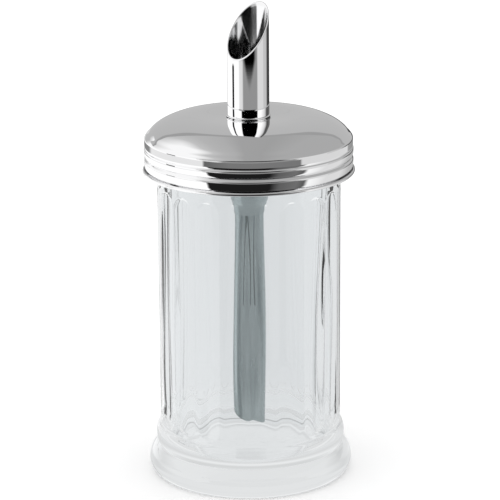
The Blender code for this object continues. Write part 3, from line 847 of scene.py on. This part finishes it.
floor_line = np.array([
    (middle_r, punt_depth + floor_rise),
    (punt_r - 2 * punt_depth, punt_depth + floor_rise),
    (punt_r - punt_depth, 0.5 * punt_depth + floor_rise),
    (punt_r, floor_rise),
    (2 * foot_r, floor_rise),
    (floor_half, floor_rise),
    (floor_half, -floor_thickness),
])
floor = skin("floor", turn(floor_line, 96), pale_floor(), sharp=1.0)


# Light tent
# A round tent of glowing cloth stands about the jar, seen only in its polished surfaces. The bands and black
# cards on it give the steel its light and dark reflections.
tent_r = 0.32
tent_height = 0.5
tent_inner = 0.042
tent_lift = 0.002
tent_wall = 0.001
tent_corner = 0.2 * tent_r
low_bands = [
    (0, 0.9), (24, 0.9), (45, 0.6), (70, 0.5), (100, 0.7), (126, 1.3), (225, 1.3), (227, 0.015),
    (292, 0.015), (302, 0.14), (321, 0.2), (330, 0.12), (335, 1.2), (345, 1.1), (359, 0.9),
]
skirt_bands = [
    (0, 0.86), (43, 0.86), (46, 0.4), (70, 0.3), (100, 0.25), (134, 0.3), (142, 1.0), (221, 1.0),
    (223, 0.16), (250, 0.23), (325, 0.23), (327, 0.86), (359, 0.86),
]
mid_bands = [
    (0, 0.7), (24, 0.66), (36, 0.06), (70, 0.05), (95, 0.3), (126, 1.3), (217, 1.3), (222, 0.95),
    (238, 0.9), (244, 0.36), (318, 0.36), (324, 0.88), (356, 0.86),
]
high_bands = [
    (0, 0.8), (20, 0.6), (50, 0.575), (125, 0.575), (135, 1.2), (217, 1.2), (222, 0.64), (300, 0.64),
    (330, 0.9), (359, 0.8),
]
band_levels = [(0.052, 0.0005, skirt_bands), (0.063, 0.0005, mid_bands), (0.12, 0.002, high_bands)]
point_heading = 277.0
point_foot_z = 0.0806
point_spread = 1900.0
point_half = 30.0
point_blend = 8.0
point_fade_z = 0.0865
point_fade = 0.0085
block_heading = 254.0
block_half = 39.0
block_low_z = 0.097
block_low_blend = 0.002
block_top_z = 0.123
block_top_blend = 0.001
past_all = 400.0
line_heading = 181.0
line_half = 6.5
line_low_z = 0.063
line_low_blend = 0.0005
line_top_z = 0.093
line_top_blend = 0.001
roof_z = 0.2175
roof_blend = 0.0025
roof_half = 0.3
roof_tones = [
    (0.0, 1.2), (0.06, 0.98), (0.14, 0.68), (0.25, 0.58), (0.38, 0.53), (0.46, 0.45), (0.62, 0.44),
    (0.72, 0.47), (0.84, 0.5), (1.0, 0.5),
]
strip_low_z = 0.217
strip_base_z = 0.12
strip_sweep = 0.5
strip_near = 0.62
strip_far = 0.83
strip_blend = 0.03
strip_level = 0.42
rear_level = 0.575
twice_low_z = 0.17
twice_bands = [
    (0, 1.2), (12, 0.9), (28, 0.1), (100, 0.3), (126, 1.65), (173, 1.65), (176, 0.0), (186, 0.0),
    (189, 1.65), (217, 1.65), (232, 1.5), (234, 0.0), (320, 0.0), (323, 1.65), (345, 1.5), (359, 1.2),
]
glass_bands = [
    (0, 0.9), (40, 0.6), (75, 0.55), (110, 0.95), (150, 1.1), (200, 1.05), (235, 0.85), (300, 0.85),
    (330, 1.0), (359, 0.9),
]


def grey(level):
    """A grey of one level."""
    return (level, level, level, 1.0)


def tent_cloth():
    """Glowing cloth. Its wall has bands by direction at four heights, and before them a black block, a black
    card with a soft pointed foot and a thin black line. Its roof runs from white at the left to grey, with a
    darker strip that sweeps round the back. A ray mirrored twice sees other bands high up, and a ray mirrored
    within glass sees other bands all over, without the black."""
    material, shader, start = new_material("tent_cloth_look")
    x, y, z = object_axes(start)
    heading = heading_share(start, x, y)

    def bands(table):
        """A level by direction, from rows of degrees and levels."""
        return graded(start, heading, tinted(table, 360.0))

    def risen(value, middle, half):
        """A smooth step from 0 to 1, begun a half before the middle and done a half past it."""
        limits = {"Value": value, "From Min": middle - half, "From Max": middle + half}
        return start.node("ShaderNodeMapRange", {"interpolation_type": "SMOOTHSTEP"}, limits)

    def outside(degrees, half):
        """How many degrees the direction lies outside a half width about a heading, below 0 inside it."""
        return start.math("ABSOLUTE", heading * 360.0 - degrees) - half

    wall = bands(low_bands)
    for from_z, blend, table in band_levels:
        wall = mixed(start, risen(z, from_z, blend), wall, bands(table))
    widening = start.math("MINIMUM", (z - point_foot_z) * point_spread, point_half)
    point = 1.0 - risen(outside(point_heading, widening), 1.0, point_blend)
    point = point * risen(z, point_fade_z, point_fade)
    past_block = outside(block_heading, block_half) + past_all * risen(z, block_top_z, block_top_blend)
    block = (1.0 - risen(past_block, 0.0, 1.0)) * risen(z, block_low_z, block_low_blend)
    line = start.math("LESS_THAN", outside(line_heading, line_half), 0.0)
    line = line * risen(z, line_low_z, line_low_blend) * (1.0 - risen(z, line_top_z, line_top_blend))
    black = start.math("MAXIMUM", start.math("MAXIMUM", point, block), line)
    wall = mixed(start, black, wall, grey(0.0))

    limits = {"Value": x, "From Min": -roof_half, "From Max": roof_half}
    across = start.node("ShaderNodeMapRange", None, limits)
    roof = graded(start, across, tinted(roof_tones, 1.0))
    wall = mixed(start, risen(z, roof_z, roof_blend), wall, roof)
    climb = start.math("MAXIMUM", z - strip_base_z, 0.01)
    back = (y - start.math("ABSOLUTE", x) * strip_sweep) / climb
    on_roof = start.math("GREATER_THAN", z, strip_low_z)
    strip = start.math("GREATER_THAN", back, strip_near) * on_roof
    wall = mixed(start, strip, wall, grey(strip_level))
    wall = mixed(start, risen(back, strip_far, strip_blend) * on_roof, wall, grey(rear_level))

    twice = start.math("GREATER_THAN", ray(start, "Glossy Depth"), 1.5)
    twice = twice * start.math("GREATER_THAN", z, twice_low_z)
    wall = mixed(start, twice, wall, bands(twice_bands))
    through = start.math("GREATER_THAN", ray(start, "Transmission Depth"), 0.5)
    wall = mixed(start, through, wall, bands(glass_bands))
    shader.inputs["Base Color"].default_value = grey(0.0)
    shader.inputs["Specular IOR Level"].default_value = 0.0
    shader.inputs["Emission Strength"].default_value = 1.0
    drive(shader, "Emission Color", wall)
    return material


tent_line = np.vstack([
    straight((0.0, tent_height), (tent_r - tent_corner, tent_height), 8),
    arc((tent_r - tent_corner, tent_height - tent_corner), tent_corner, 90, 0, 8),
    straight((tent_r, tent_height - 1.1 * tent_corner), (tent_r, tent_lift), 30),
    straight((tent_r, tent_lift), (tent_inner, tent_lift), 8),
])
tent = skin("light_tent", turn(thick_line(tent_line, tent_wall), 90), tent_cloth(), loop=True)
tent.visible_camera = False
tent.visible_diffuse = False
tent.visible_shadow = False
tent.visible_transmission = False


# Studio light
# An even white sky, and one large soft lamp from the upper left that gives the jar its faint shadow.
lamp_place = (-1.2, -0.8, 1.8)
lamp_aim = (0.0, 0.0, 0.05)
sky = bpy.data.worlds.new("sky")
bpy.context.scene.world = sky
sky.use_nodes = True
sky_shader = sky.node_tree.nodes["Background"]
sky_shader.inputs["Color"].default_value = (1.0, 1.0, 1.0, 1.0)
sky_shader.inputs["Strength"].default_value = 1.0
lamp = bpy.data.lights.new("soft_lamp", "AREA")
lamp.shape = "DISK"
lamp.size = 1.6
lamp.energy = 2.0
lamp_object = bpy.data.objects.new("soft_lamp", lamp)
bpy.context.scene.collection.objects.link(lamp_object)
lamp_object.location = lamp_place
lamp_object.rotation_euler = (Vector(lamp_aim) - Vector(lamp_place)).to_track_quat("-Z", "Y").to_euler()
lamp_object.visible_glossy = False
lamp_object.visible_transmission = False
